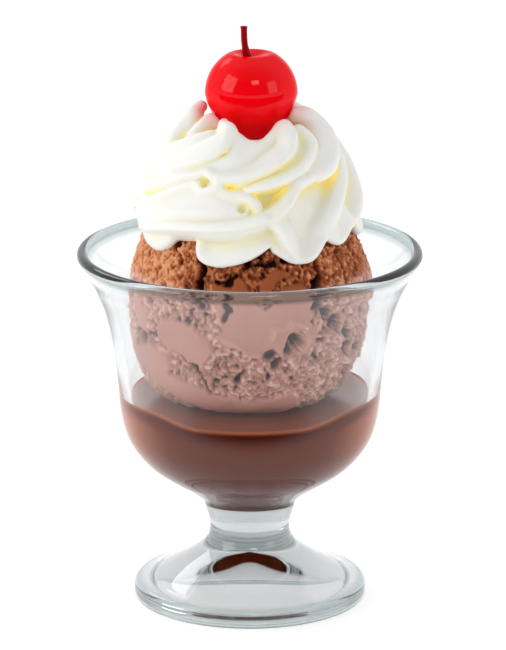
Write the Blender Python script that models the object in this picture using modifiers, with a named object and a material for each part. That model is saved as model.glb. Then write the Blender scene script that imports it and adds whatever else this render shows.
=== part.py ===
"""Hot fudge sundae in its footed glass.

A scoop of chocolate ice cream stands in hot fudge in a heavy pressed-glass dish.
Piped whipped cream drapes over the scoop, and a glazed cherry with its stem sits on top.
The origin is the centre of the foot's standing ring, +Z is up and -Y is the front.
Azimuths are measured from the front, positive towards +X.
"""
import math

import bmesh
import bpy
import numpy as np
from mathutils import Vector, noise

MM = 0.001
GAP = 0.3 * MM                       # clearance kept between pieces that touch

# Glass: one pressed piece, turned round the Z axis
RIM_RADIUS = 45.0 * MM               # outside of the fire-polished bead
BEAD_RADIUS = 1.45 * MM
BEAD_HEIGHT = 92.65 * MM             # centre of the bead
FOOT_RADIUS = 30.5 * MM
FOOT_BOTTOM_ROUND = 0.9 * MM
FOOT_TOP_ROUND = 1.8 * MM
FOOT_EDGE_TOP = 4.8 * MM
GLASS_SEGMENTS = 36

# Stations (radius, height) in millimetres that the smooth walls run through
OUTER_WALL = ((42.4, 87.9), (40.3, 83.9), (37.9, 77.9), (36.0, 69.9), (34.7, 59.9),
              (34.0, 51.6), (32.7, 45.6), (30.4, 41.0), (26.9, 36.9), (22.6, 33.6),
              (17.4, 30.3), (12.9, 26.9))
STEM = ((12.9, 26.9), (11.4, 23.4), (10.5, 20.0), (10.7, 17.0), (12.2, 14.4),
        (15.6, 11.6), (20.6, 8.6), (25.8, 5.9))
INNER_WALL = ((0.0, 29.6), (5.0, 30.3), (10.0, 32.6), (15.6, 35.8), (21.6, 39.6),
              (26.6, 43.8), (29.8, 48.6), (31.1, 53.0), (32.0, 60.2), (33.4, 70.4),
              (35.5, 78.6), (38.2, 85.0), (40.6, 89.4))
# Hollow under the foot, from the edge of the flat standing ring up to its middle
RECESS = ((25.2, 0.0), (24.6, 1.0), (22.0, 2.4), (15.0, 5.0), (9.0, 7.0), (4.6, 8.4), (0.0, 9.0))

# Scoop: a ball that spreads a little where it was pressed on to the fudge
SCOOP_CENTRE = 83.4 * MM
SCOOP_RADIUS = 31.3 * MM
SCOOP_TOP_LOSS = 0.7 * MM            # how much lower the crown is than a true ball
SCOOP_BASE_DEPTH = 30.8 * MM         # flattened underside below the centre
SCOOP_SKIRT = 3.4 * MM               # spread of the lower half
SCOOP_SKIRT_LEAN = 1.6 * MM          # extra spread towards -X
SCOOP_RELIEF = 0.45 * MM
SCOOP_SEGMENTS, SCOOP_RINGS = 36, 18

# Fudge: fills the bowl up to a slightly wavy level
FUDGE_LEVEL = 56.0 * MM              # at the glass, sides and back
FUDGE_FRONT_DIP = 2.4 * MM
FUDGE_RIGHT_RISE = 0.7 * MM
FUDGE_DIP_START, FUDGE_DIP_END = math.radians(24), math.radians(52)
FUDGE_CONTACT = 54.5 * MM            # where the surface meets the scoop
FUDGE_SEGMENTS, FUDGE_WALL_RINGS, FUDGE_POCKET_RINGS = 36, 8, 4

# Whipped cream: ridges laid by a star nozzle over a core that sits on the scoop
CREAM_SEGMENTS, CREAM_RINGS, CREAM_INNER_RINGS = 64, 20, 4
CREAM_HEM = 1.2 * MM                 # least thickness of the cream
CREAM_BLEND = 2.8                    # mm, fillet between ridges
CREAM_BORE_MARGIN = 0.6              # mm, clearance to the cherry
# Core outline (height, radius) in millimetres
CREAM_CORE = ((96.0, 23.0), (100.0, 25.6), (104.0, 26.0), (109.0, 24.8), (114.0, 22.0),
              (118.0, 19.2), (121.5, 16.0), (124.0, 12.4), (125.4, 8.4), (126.0, 3.0))
# Ridges: thickness radius, then (azimuth in degrees, height, radius) of the crest in mm
CREAM_RIDGES = (
    (2.3, ((-32, 128.2, 16.0), (-23, 127.0, 18.6), (-26, 125.4, 21.0), (-37, 123.2, 22.9),
            (-50, 121.0, 24.1), (-66, 118.6, 25.2), (-92, 115.0, 26.6), (-122, 110.5, 28.3),
            (-150, 105.0, 29.4))),
    (2.3, ((-98, 131.2, 15.2), (-84, 128.6, 18.2), (-76, 125.2, 21.4), (-84, 121.6, 23.6),
            (-106, 117.6, 25.4), (-136, 112.6, 27.4), (-160, 107.0, 29.0))),
    (2.3, ((-60, 128.0, 13.5), (-58, 125.4, 17.5), (-60, 122.8, 20.5))),
    (2.4, ((40, 129.4, 17.2), (26, 127.9, 19.9), (15, 125.8, 21.5), (6, 123.0, 23.1),
            (-2, 120.9, 24.3), (-10, 119.6, 25.0), (-19, 118.8, 25.4), (-27, 119.8, 25.1),
            (-33, 118.6, 25.5), (-44, 117.9, 25.8), (-60, 117.4, 26.2), (-78, 116.0, 27.0),
            (-108, 111.5, 28.2), (-140, 105.5, 29.4))),
    (2.4, ((48, 127.8, 18.9), (48, 125.9, 21.3), (40, 123.2, 23.1), (30, 120.7, 24.5),
            (20, 119.3, 25.2), (9, 118.2, 25.9), (1, 117.0, 26.5), (-3, 115.4, 26.9))),
    (2.9, ((74, 130.0, 14.4), (86, 128.2, 18.4), (86, 125.6, 21.4), (80, 122.8, 23.2),
            (70, 120.4, 24.5), (58, 118.6, 25.8), (47, 117.8, 26.4), (38, 118.2, 26.0))),
    (2.5, ((38, 117.6, 26.4), (30, 116.9, 26.8), (25, 114.8, 27.6), (20, 112.5, 28.7),
            (13, 110.2, 29.5), (6, 108.5, 30.1), (-2, 107.1, 30.5), (-13, 106.2, 30.6),
            (-25, 105.7, 30.6), (-38, 105.1, 30.6), (-50, 104.2, 30.5), (-64, 102.6, 30.2),
            (-80, 100.8, 29.8))),
    (2.3, ((5, 110.4, 28.2), (2, 113.2, 28.0), (-4, 114.6, 27.7), (-12, 114.8, 27.5),
            (-20, 116.0, 26.9), (-28, 116.4, 26.8), (-36, 115.8, 27.1), (-45, 114.1, 27.9),
            (-55, 112.0, 28.8), (-66, 109.8, 29.5), (-80, 107.4, 30.4), (-90, 106.4, 31.2),
            (-106, 104.8, 29.8), (-126, 102.6, 29.2))),
    (2.6, ((-76, 101.8, 29.2), (-66, 99.9, 29.3), (-56, 99.4, 29.1), (-47, 101.6, 29.4))),
    (2.3, ((-26, 98.6, 29.2), (-20, 97.3, 29.0), (-12, 97.4, 28.9), (-2, 98.9, 28.8),
            (6, 101.0, 28.6), (12, 102.4, 28.2))),
    (2.3, ((14, 100.4, 28.6), (22, 98.2, 29.2), (29, 97.6, 29.4), (35, 98.3, 29.3),
            (40, 100.6, 29.2), (46, 103.0, 28.8))),
    (2.3, ((8, 108.0, 29.4), (13, 105.6, 29.8), (18, 102.8, 29.9), (22, 99.6, 29.8))),
    (2.3, ((47, 102.0, 29.0), (54, 100.5, 29.3), (61, 102.1, 29.4), (68, 104.4, 29.2))),
    (2.3, ((62, 123.4, 22.0), (72, 120.4, 24.4), (79, 117.0, 26.4), (83, 113.0, 28.3),
            (80, 108.8, 29.6), (73, 105.0, 29.9), (66, 102.6, 29.5))),
    (2.5, ((-164, 130.4, 14.5), (-172, 126.8, 19.5), (170, 122.4, 23.0), (148, 117.6, 26.0),
            (128, 111.6, 28.4), (112, 105.6, 29.6), (101, 101.6, 29.4))),
    (2.5, ((142, 131.2, 13.8), (130, 128.2, 18.5), (114, 123.8, 22.4), (102, 118.6, 25.6),
            (96, 112.6, 28.2), (92, 106.6, 29.6), (86, 102.4, 29.3))),
    (2.4, ((-140, 122.0, 22.8), (-160, 118.0, 25.6), (178, 112.6, 28.2), (160, 106.6, 29.6),
            (145, 101.8, 29.4))),
    (2.3, ((-96, 101.0, 29.4), (-112, 99.0, 29.2), (-128, 99.8, 29.2), (-142, 101.8, 29.2))),
    (2.3, ((-150, 101.0, 29.2), (-165, 99.2, 29.2), (-178, 100.6, 29.2))),
    (2.3, ((174, 100.8, 29.2), (158, 99.2, 29.2), (144, 100.8, 29.2))),
    (2.3, ((136, 100.8, 29.2), (120, 99.2, 29.2), (106, 100.8, 29.2))),
    (2.3, ((99, 101.2, 29.2), (87, 99.8, 29.4), (77, 101.8, 29.4))),
)

# Cherry and stem
CHERRY_RADIUS = 12.0 * MM
CHERRY_CENTRE = Vector((0.4, 0.0, 135.4)) * MM
CHERRY_DIMPLE_DEPTH = 2.6 * MM
CHERRY_DIMPLE_RADIUS = 6.6 * MM
CHERRY_TAPER = 0.1                   # narrower towards the tip
CHERRY_SEGMENTS, CHERRY_RINGS = 24, 13
STEM_RADIUS = 0.85 * MM
STEM_FLARE = 1.45                    # the stem's foot against its shaft
STEM_SEAT = 0.75 * MM                # the flared foot's height above the dimple's middle
STEM_TOP = Vector((-1.5, -0.4, 153.0)) * MM


def clear_scene():
    """Remove every object that the file starts with."""
    for old in list(bpy.data.objects):
        bpy.data.objects.remove(old, do_unlink=True)


def make_material(name, colour, roughness, transmission=0.0):
    """Return a Principled material with the piece's colour and finish."""
    material = bpy.data.materials.new(name)
    material.use_nodes = True
    shader = material.node_tree.nodes["Principled BSDF"]
    shader.inputs["Base Color"].default_value = (*colour, 1.0)
    shader.inputs["Roughness"].default_value = roughness
    shader.inputs["Metallic"].default_value = 0.0
    shader.inputs["Transmission Weight"].default_value = transmission
    return material


def smoothstep(low, high, value):
    """Rise smoothly from 0 at low to 1 at high."""
    t = min(1.0, max(0.0, (value - low) / (high - low)))
    return t * t * (3.0 - 2.0 * t)


def smooth_line(points, steps):
    """Run a Catmull-Rom curve through the points, with some steps to each span."""
    points = [np.array(p, dtype=float) for p in points]
    padded = [2 * points[0] - points[1]] + points + [2 * points[-1] - points[-2]]
    line = []
    for a, b, c, d in zip(padded, padded[1:], padded[2:], padded[3:]):
        for step in range(steps):
            t = step / steps
            line.append(0.5 * (2 * b + (c - a) * t + (2 * a - 5 * b + 4 * c - d) * t ** 2
                               + (3 * b - a - 3 * c + d) * t ** 3))
    line.append(points[-1])
    return line


def arc(centre, radius, start, end, steps):
    """Return points (radius, height) on an arc, angles in degrees."""
    angles = [math.radians(start + (end - start) * i / steps) for i in range(steps + 1)]
    return [(centre[0] + radius * math.cos(a), centre[1] + radius * math.sin(a))
            for a in angles]


def inner_wall_radius(height):
    """Return the radius of the glass's inside at a height."""
    line = smooth_line(INNER_WALL, 4)
    heights = [p[1] * MM for p in line]
    radii = [p[0] * MM for p in line]
    return float(np.interp(height, heights, radii))


def add_object(name, mesh, material, collection):
    """Put a mesh in the collection as a smooth-shaded object."""
    mesh.materials.append(material)
    piece = bpy.data.objects.new(name, mesh)
    collection.objects.link(piece)
    mesh.shade_smooth()
    return piece


def turn(name, profile, segments, material, collection):
    """Turn a profile (radius, height) that runs from axis to axis round Z."""
    shape = bmesh.new()
    verts = [shape.verts.new((max(0.0, r), 0.0, z)) for r, z in profile]
    for a, b in zip(verts, verts[1:]):
        shape.edges.new((a, b))
    mesh = bpy.data.meshes.new(name)
    shape.to_mesh(mesh)
    shape.free()
    piece = add_object(name, mesh, material, collection)
    screw = piece.modifiers.new("Turn", "SCREW")
    screw.axis = "Z"
    screw.steps = segments
    screw.render_steps = segments
    screw.use_merge_vertices = True
    screw.merge_threshold = 0.00001
    screw.use_smooth_shade = True
    return piece


def loft(name, rings, start, end, material, collection):
    """Close a skin over rings of equal count between a start and an end point."""
    shape = bmesh.new()
    first = shape.verts.new(start)
    last = shape.verts.new(end)
    rows = [[shape.verts.new(p) for p in ring] for ring in rings]
    count = len(rows[0])
    for i in range(count):
        j = (i + 1) % count
        shape.faces.new((first, rows[0][j], rows[0][i]))
        for lower, upper in zip(rows, rows[1:]):
            shape.faces.new((lower[i], lower[j], upper[j], upper[i]))
        shape.faces.new((last, rows[-1][i], rows[-1][j]))
    bmesh.ops.recalc_face_normals(shape, faces=shape.faces)
    mesh = bpy.data.meshes.new(name)
    shape.to_mesh(mesh)
    shape.free()
    return add_object(name, mesh, material, collection)


def make_glass(collection):
    """Turn the dish: inside wall, bead, outside wall, stem, foot and recess."""
    bead = arc((RIM_RADIUS - BEAD_RADIUS, BEAD_HEIGHT), BEAD_RADIUS, 195, -45, 7)
    foot_top = arc((FOOT_RADIUS - FOOT_TOP_ROUND, FOOT_EDGE_TOP - FOOT_TOP_ROUND),
                   FOOT_TOP_ROUND, 80, 0, 3)
    foot_bottom = arc((FOOT_RADIUS - FOOT_BOTTOM_ROUND, FOOT_BOTTOM_ROUND),
                      FOOT_BOTTOM_ROUND, 0, -90, 3)
    recess = [(r * MM, z * MM) for r, z in RECESS]
    profile = [(r * MM, z * MM) for r, z in smooth_line(INNER_WALL, 1)]
    profile += bead
    profile += [(r * MM, z * MM) for r, z in smooth_line(OUTER_WALL, 1)]
    profile += [(r * MM, z * MM) for r, z in smooth_line(STEM, 1)[1:]]
    profile += foot_top + foot_bottom + recess
    material = make_material("clear_glass", (0.93, 0.96, 0.95), 0.03, 1.0)
    return turn("glass", profile, GLASS_SEGMENTS, material, collection)


def scoop_radius(azimuth, polar):
    """Return the scoop's radius about its centre, polar measured from the top."""
    lower = smoothstep(math.radians(88), math.radians(142), polar)
    upper = smoothstep(math.radians(80), 0.0, polar)
    lean = max(0.0, -math.sin(azimuth)) ** 2
    ball = SCOOP_RADIUS - SCOOP_TOP_LOSS * upper
    ball += lower * (SCOOP_SKIRT + SCOOP_SKIRT_LEAN * lean)
    drop = max(0.05, -math.cos(polar))
    flat = SCOOP_BASE_DEPTH / drop
    sharpness = 12
    return (ball ** -sharpness + flat ** -sharpness) ** (-1 / sharpness)


def scoop_point(azimuth, polar, offset=0.0):
    """Return a point on the scoop's skin, moved out by an offset."""
    reach = scoop_radius(azimuth, polar) + offset
    return Vector((reach * math.sin(polar) * math.sin(azimuth),
                   -reach * math.sin(polar) * math.cos(azimuth),
                   SCOOP_CENTRE + reach * math.cos(polar)))


def make_scoop(collection):
    """Shape a sphere into the scoop, with its grain as a shallow relief."""
    shape = bmesh.new()
    bmesh.ops.create_uvsphere(shape, u_segments=SCOOP_SEGMENTS, v_segments=SCOOP_RINGS,
                              radius=1.0)
    for vert in shape.verts:
        azimuth = math.atan2(vert.co.x, -vert.co.y)
        polar = math.acos(max(-1.0, min(1.0, vert.co.z)))
        grain = noise.fractal(vert.co * 5.0, 1.0, 2.0, 3)
        relief = min(0.0, SCOOP_RELIEF * (grain - 0.9))
        vert.co = scoop_point(azimuth, polar, relief)
    mesh = bpy.data.meshes.new("ice_cream")
    shape.to_mesh(mesh)
    shape.free()
    material = make_material("chocolate_ice_cream", (0.34, 0.13, 0.065), 0.75)
    return add_object("ice_cream", mesh, material, collection)


def fudge_level(azimuth):
    """Return the height of the fudge along the glass."""
    away = abs(math.atan2(math.sin(azimuth), math.cos(azimuth)))
    dip = 1.0 - smoothstep(FUDGE_DIP_START, FUDGE_DIP_END, away)
    right = smoothstep(math.radians(40), math.radians(75), azimuth)
    right *= 1.0 - smoothstep(math.radians(110), math.radians(150), azimuth)
    return FUDGE_LEVEL - FUDGE_FRONT_DIP * dip + FUDGE_RIGHT_RISE * right


def contact_polar(azimuth):
    """Return the polar angle at which the scoop's skin reaches the fudge's surface."""
    low, high = math.radians(100), math.radians(178)
    for _ in range(40):
        middle = 0.5 * (low + high)
        if scoop_point(azimuth, middle, GAP).z > FUDGE_CONTACT:
            low = middle
        else:
            high = middle
    return low


def make_fudge(collection):
    """Loft the fudge up the glass, across its surface and into the scoop's pocket."""
    azimuths = [2 * math.pi * i / FUDGE_SEGMENTS - math.pi for i in range(FUDGE_SEGMENTS)]
    bottom = INNER_WALL[0][1] * MM + GAP
    rings = []
    for k in range(1, FUDGE_WALL_RINGS + 1):
        ring = []
        for a in azimuths:
            share = (k / FUDGE_WALL_RINGS) ** 1.6
            z = bottom + (fudge_level(a) - bottom) * share
            r = inner_wall_radius(z - GAP) - GAP
            ring.append(Vector((r * math.sin(a), -r * math.cos(a), z)))
        rings.append(ring)
    contact = [scoop_point(a, contact_polar(a), GAP) for a in azimuths]
    for share, sag in ((0.2, 0.55), (0.6, 0.9)):
        ring = []
        for wall, inner in zip(rings[FUDGE_WALL_RINGS - 1], contact):
            point = wall.lerp(inner, share)
            point.z = wall.z + (inner.z - wall.z) * sag
            ring.append(point)
        rings.append(ring)
    rings.append(contact)
    for k in range(1, FUDGE_POCKET_RINGS):
        share = k / FUDGE_POCKET_RINGS
        rings.append([scoop_point(a, contact_polar(a) * (1 - share) + math.pi * share, GAP)
                      for a in azimuths])
    material = make_material("hot_fudge", (0.16, 0.045, 0.018), 0.25)
    return loft("fudge", rings, (0.0, 0.0, bottom), scoop_point(0.0, math.pi, GAP),
                material, collection)


def ridge_path(thickness, points):
    """Return a ridge's centre line in millimetres, its thickness inside its crest."""
    turns = np.degrees(np.unwrap(np.radians([p[0] for p in points])))
    stations = [(turn_, p[1], p[2] - thickness) for turn_, p in zip(turns, points)]
    line = np.array(smooth_line(stations, 5))
    a = np.radians(line[:, 0])
    return np.stack((line[:, 2] * np.sin(a), -line[:, 2] * np.cos(a), line[:, 1]), axis=1)


def cream_field(points):
    """Return how far points in millimetres lie outside the cream, less than 0 inside."""
    heights, radii = zip(*CREAM_CORE)
    across = np.hypot(points[:, 0], points[:, 1])
    core = 0.8 * (across - np.interp(points[:, 2], heights, radii))
    core = np.maximum(core, heights[0] + 7.0 - points[:, 2])
    field = np.maximum(core, points[:, 2] - heights[-1])
    for thickness, stations in CREAM_RIDGES:
        path = ridge_path(thickness, stations)
        ridge = np.full(len(points), 1e9)
        for a, b in zip(path, path[1:]):
            along = b - a
            t = np.clip(((points - a) @ along) / (along @ along), 0.0, 1.0)
            gap = np.linalg.norm(points - a - t[:, None] * along, axis=1)
            ridge = np.minimum(ridge, gap)
        ridge -= thickness
        mix = np.clip(0.5 + 0.5 * (field - ridge) / CREAM_BLEND, 0.0, 1.0)
        field = field * (1 - mix) + ridge * mix - CREAM_BLEND * mix * (1 - mix)
    cherry = np.linalg.norm(points - np.array(CHERRY_CENTRE) / MM, axis=1)
    return np.maximum(field, CHERRY_RADIUS / MM + CREAM_BORE_MARGIN - cherry)


def cream_reach(azimuth, polars):
    """Return how far the cream reaches from the scoop's centre in each direction."""
    reaches = np.arange(30.0, 54.0, 0.25)
    s, c = np.sin(polars)[:, None], np.cos(polars)[:, None]
    grid = np.stack((reaches * s * math.sin(azimuth), -reaches * s * math.cos(azimuth),
                     SCOOP_CENTRE / MM + reaches * c), axis=2)
    inside = cream_field(grid.reshape(-1, 3)).reshape(len(polars), -1) < 0.0
    found = []
    for row in inside:
        hits = np.flatnonzero(row)
        found.append(reaches[hits[-1]] if len(hits) else 0.0)
    return np.array(found) * MM


def cherry_limit(azimuth, polar):
    """Return how far a ray from the scoop's centre runs before it nears the cherry."""
    ray = Vector((math.sin(polar) * math.sin(azimuth), -math.sin(polar) * math.cos(azimuth),
                  math.cos(polar)))
    to_cherry = CHERRY_CENTRE - Vector((0.0, 0.0, SCOOP_CENTRE))
    along = ray.dot(to_cherry)
    clear = CHERRY_RADIUS + CREAM_BORE_MARGIN * MM
    rest = along ** 2 - to_cherry.length_squared + clear ** 2
    return along - math.sqrt(rest) if rest > 0 else math.inf


def soften(grid):
    """Average each reach with its neighbours, round the turn and along each meridian."""
    turned = (np.roll(grid, 1, axis=0) + 2 * grid + np.roll(grid, -1, axis=0)) / 4
    padded = np.pad(turned, ((0, 0), (1, 1)), mode="edge")
    return (padded[:, :-2] + 2 * turned + padded[:, 2:]) / 4


def make_cream(collection):
    """Loft the cream: outer skin from the crown to the hem, then back under it."""
    azimuths = [2 * math.pi * i / CREAM_SEGMENTS - math.pi for i in range(CREAM_SEGMENTS)]
    search = np.radians(np.arange(40.0, 78.0, 1.0))
    hems = []
    for a in azimuths:
        skin = np.array([scoop_radius(a, p) for p in search]) + GAP + CREAM_HEM
        hems.append(search[np.flatnonzero(cream_reach(a, search) > skin)[-1]])
    shares = (np.arange(1, CREAM_RINGS + 1) / CREAM_RINGS) ** 0.9
    polars = np.outer(hems, shares)
    reaches = np.array([cream_reach(a, row) for a, row in zip(azimuths, polars)])
    reaches = soften(soften(reaches))
    outer = []
    for k in range(CREAM_RINGS):
        ring = []
        for a, p, far in zip(azimuths, polars[:, k], reaches[:, k]):
            far = min(far, cherry_limit(a, p))
            skin = scoop_radius(a, p)
            ring.append(scoop_point(a, p, max(far - skin, GAP + CREAM_HEM)))
        outer.append(ring)
    inner = [[scoop_point(a, hem * (1 - k / CREAM_INNER_RINGS), GAP)
              for a, hem in zip(azimuths, hems)] for k in range(CREAM_INNER_RINGS)]
    top = cherry_limit(0.0, 0.0)
    material = make_material("whipped_cream", (0.93, 0.91, 0.82), 0.5)
    return loft("whipped_cream", outer + inner, (0.0, 0.0, SCOOP_CENTRE + top),
                scoop_point(0.0, 0.0, GAP), material, collection)


def make_cherry(collection):
    """Turn the cherry with its dimple, and set it on the cream."""
    profile = []
    for i in range(CHERRY_RINGS + 1):
        polar = math.pi * i / CHERRY_RINGS
        r = CHERRY_RADIUS * math.sin(polar)
        z = CHERRY_RADIUS * math.cos(polar)
        if polar < math.pi / 2:
            z -= CHERRY_DIMPLE_DEPTH * (1 - smoothstep(0.0, CHERRY_DIMPLE_RADIUS, r))
        else:
            r *= 1.0 - CHERRY_TAPER * math.sin(polar) * math.sin(2 * polar - math.pi)
        profile.append((r, z))
    material = make_material("glazed_cherry", (0.75, 0.005, 0.01), 0.12)
    cherry = turn("cherry", profile, CHERRY_SEGMENTS, material, collection)
    cherry.location = CHERRY_CENTRE
    return cherry


def make_stem(collection):
    """Run the short stem from the dimple up to its cut end."""
    base = CHERRY_CENTRE.copy()
    base.z += CHERRY_RADIUS - CHERRY_DIMPLE_DEPTH + STEM_SEAT
    bend = base.lerp(STEM_TOP, 0.45) + Vector((-0.35, 0.0, 0.0)) * MM
    curve = bpy.data.curves.new("cherry_stem", "CURVE")
    curve.dimensions = "3D"
    curve.bevel_depth = STEM_RADIUS
    curve.bevel_resolution = 1
    curve.use_fill_caps = True
    line = smooth_line((base, bend, STEM_TOP), 3)
    spline = curve.splines.new("POLY")
    spline.points.add(len(line) - 1)
    for i, (point, station) in enumerate(zip(spline.points, line)):
        share = i / (len(line) - 1)
        point.co = (*station, 1.0)
        point.radius = 1.0 + (STEM_FLARE - 1.0) * (1 - smoothstep(0.0, 0.5, share))
    curve.materials.append(make_material("cherry_stem", (0.25, 0.01, 0.01), 0.35))
    stem = bpy.data.objects.new("cherry_stem", curve)
    collection.objects.link(stem)
    return stem


def main():
    clear_scene()
    collection = bpy.data.collections.new("hot_fudge_sundae")
    bpy.context.scene.collection.children.link(collection)
    make_glass(collection)
    make_fudge(collection)
    make_scoop(collection)
    make_cream(collection)
    make_cherry(collection)
    make_stem(collection)


main()
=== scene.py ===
"""Looks of the hot fudge sundae: glass, fudge, scoop, whipped cream, cherry, light and camera.

Lengths inside the shape functions are millimetres, because the cream and the scoop are worked
out on fine grids; to_mesh() turns them into metres. Azimuths are measured from the front (-Y),
positive towards +X.
"""
import math

import bmesh
import bpy
import numpy as np
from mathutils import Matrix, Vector


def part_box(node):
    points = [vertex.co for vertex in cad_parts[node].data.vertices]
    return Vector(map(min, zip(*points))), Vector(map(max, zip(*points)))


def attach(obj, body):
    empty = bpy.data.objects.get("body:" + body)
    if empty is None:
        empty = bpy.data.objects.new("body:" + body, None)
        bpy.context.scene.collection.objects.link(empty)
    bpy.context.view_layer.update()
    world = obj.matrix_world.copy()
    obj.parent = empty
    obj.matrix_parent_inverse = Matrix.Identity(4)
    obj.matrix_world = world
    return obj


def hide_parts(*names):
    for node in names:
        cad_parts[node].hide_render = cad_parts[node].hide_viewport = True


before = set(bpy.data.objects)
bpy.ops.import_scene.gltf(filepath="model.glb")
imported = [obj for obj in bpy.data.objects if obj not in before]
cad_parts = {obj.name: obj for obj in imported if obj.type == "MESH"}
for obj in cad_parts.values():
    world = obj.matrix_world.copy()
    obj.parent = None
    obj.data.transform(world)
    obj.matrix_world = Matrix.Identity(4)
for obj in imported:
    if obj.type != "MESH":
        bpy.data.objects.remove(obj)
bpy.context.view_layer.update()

MM = 0.001

# ---------------------------------------------------------------- sizes in millimetres
# Each outline is a line of points (radius, height)
glass_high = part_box("glass")[1]
RIM_RADIUS = glass_high.x / MM
BEAD_RADIUS = 1.45
BEAD_HEIGHT = glass_high.z / MM - BEAD_RADIUS
FOOT_RADIUS = 30.5
FOOT_BOTTOM_ROUND = 0.9
FOOT_TOP_ROUND = 1.8
FOOT_EDGE_TOP = 4.8
GLASS_SEGMENTS = 224
# Painted shade: the glass's edges are coloured a darker green-grey for their dark outlines, the
# rim above the first heights, the foot outside these radii
RIM_SHADE_HEIGHTS = (90.6, 91.4)
FOOT_SHADE_RADII = (27.5, 29.5)
FOOT_SHADE_TOP = 5.6
RECESS = ((25.2, 0.0), (24.6, 1.0), (22.0, 2.4), (15.0, 5.0), (9.0, 7.0), (4.8, 8.4), (2.2, 9.2),
          (0.0, 9.7))
OUTER_WALL = ((42.4, 87.9), (40.3, 83.9), (37.9, 77.9), (36.0, 69.9), (34.7, 59.9),
              (34.0, 51.6), (32.7, 45.6), (30.4, 41.0), (26.9, 36.9), (22.6, 33.6),
              (17.4, 30.3), (12.9, 26.9))
STEM = ((12.9, 26.9), (11.4, 23.4), (10.5, 20.0), (10.7, 17.0), (12.2, 14.4),
        (15.6, 11.6), (20.6, 8.6), (25.8, 5.9))
INNER_WALL = ((0.0, 29.6), (5.0, 30.3), (10.0, 32.6), (15.6, 35.8), (21.6, 39.6), (26.6, 43.8),
              (29.8, 48.6), (31.1, 53.0), (32.0, 60.2), (33.4, 70.4), (35.5, 78.6), (38.2, 85.0),
              (40.6, 89.4))

SCOOP_CENTRE = 83.4
SCOOP_RADIUS = 31.3
SCOOP_TOP_LOSS = 0.7
SCOOP_BASE_DEPTH = 30.8
SCOOP_SKIRT = 3.4
SCOOP_SKIRT_LEAN = 1.6
# The scoop is frosted where it lies below the rim, fading out between these heights
FROST_HEIGHTS = (87.5, 91.5)

FUDGE_LEVEL = 56.0
FUDGE_FRONT_DIP = 2.4
FUDGE_RIGHT_RISE = 0.7
FUDGE_CONTACT = 54.5
FUDGE_INNER = 10.0
FUDGE_BITE = 0.12
FUDGE_SEGMENTS = 192
FUDGE_WALL_RINGS = 40
FUDGE_TOP_RINGS = 24

CHERRY_RADIUS = 12.0
CHERRY_CENTRE = np.array([0.4, 0.0, 135.4])
CHERRY_DIMPLE_DEPTH = 2.6
CHERRY_DIMPLE_RADIUS = 6.6
CHERRY_TAPER = 0.1
CHERRY_RINGS = 96
CHERRY_SEGMENTS = 128

STEM_RADIUS = 0.85
STEM_SEGMENTS = 24
STEM_BASE = CHERRY_CENTRE + np.array([-0.9, 0, CHERRY_RADIUS - 2.7])
STEM_END = np.array([-1.5, -0.4, 153.0])
STEM_BEND = np.array([-0.35, 0, 0])

# Stage and camera, in metres
STAGE_RADIUS = 5.0
WALL_HEIGHT = 0.7
CAMERA_LENS_MM = 265.4
CAMERA_SENSOR_MM = 36.0
CAMERA_TILT = math.radians(15.67)
CAMERA_DISTANCE = 1.25
CAMERA_AIM = (0.00085, 0.0, 0.07338)
LIGHT_AIM = (0.0, 0.0, 0.1)


# ---------------------------------------------------------------- small helpers
def smoothstep(low, high, value):
    """Rise smoothly from 0 at low to 1 at high."""
    t = np.clip((value - low) / (high - low), 0.0, 1.0)
    return t * t * (3.0 - 2.0 * t)


def smooth_line(points, steps):
    """Run a Catmull-Rom curve through the points, with some steps to each span."""
    points = [np.array(p, dtype=float) for p in points]
    padded = [2 * points[0] - points[1]] + points + [2 * points[-1] - points[-2]]
    line = []
    for a, b, c, d in zip(padded, padded[1:], padded[2:], padded[3:]):
        for step in range(steps):
            t = step / steps
            line.append(0.5 * (2 * b + (c - a) * t + (2 * a - 5 * b + 4 * c - d) * t ** 2
                               + (3 * b - a - 3 * c + d) * t ** 3))
    line.append(points[-1])
    return line


def arc(centre, radius, start, end, steps):
    """Return points (radius, height) on an arc, angles in degrees."""
    angles = [math.radians(start + (end - start) * i / steps) for i in range(steps + 1)]
    return [(centre[0] + radius * math.cos(a), centre[1] + radius * math.sin(a))
            for a in angles]


def sphere_gap(x, y, z, centre):
    """Return the distance of each grid point from a centre."""
    return np.sqrt((x - centre[0]) ** 2 + (y - centre[1]) ** 2 + (z - centre[2]) ** 2)


def span_gap(x, y, z, a, b):
    """Return each grid point's distance from the span from a to b, and its share along it."""
    along = b - a
    t = ((x - a[0]) * along[0] + (y - a[1]) * along[1] + (z - a[2]) * along[2])
    t = np.clip(t / (along @ along), 0.0, 1.0)
    gap = np.sqrt((x - a[0] - t * along[0]) ** 2 + (y - a[1] - t * along[1]) ** 2
                  + (z - a[2] - t * along[2]) ** 2)
    return gap, t


def cell_corners(t):
    """Yield each corner of a grid cell with its share for points at t within the cell."""
    for i in (0, 1):
        for j in (0, 1):
            for k in (0, 1):
                yield (i, j, k), ((t[:, 0] if i else 1 - t[:, 0])
                                  * (t[:, 1] if j else 1 - t[:, 1])
                                  * (t[:, 2] if k else 1 - t[:, 2]))


def lattice_noise(points, cell, seed):
    """Smooth value noise between -1 and 1 on a random lattice with the given cell size."""
    size = 32
    lattice = np.random.default_rng(seed).uniform(-1.0, 1.0, (size, size, size))
    scaled = points / cell + 1000.0
    base = np.floor(scaled).astype(int)
    t = scaled - base
    t = t * t * (3.0 - 2.0 * t)
    total = np.zeros(len(points))
    for corner, weight in cell_corners(t):
        total += weight * lattice[tuple(((base + corner) % size).T)]
    return total


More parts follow.
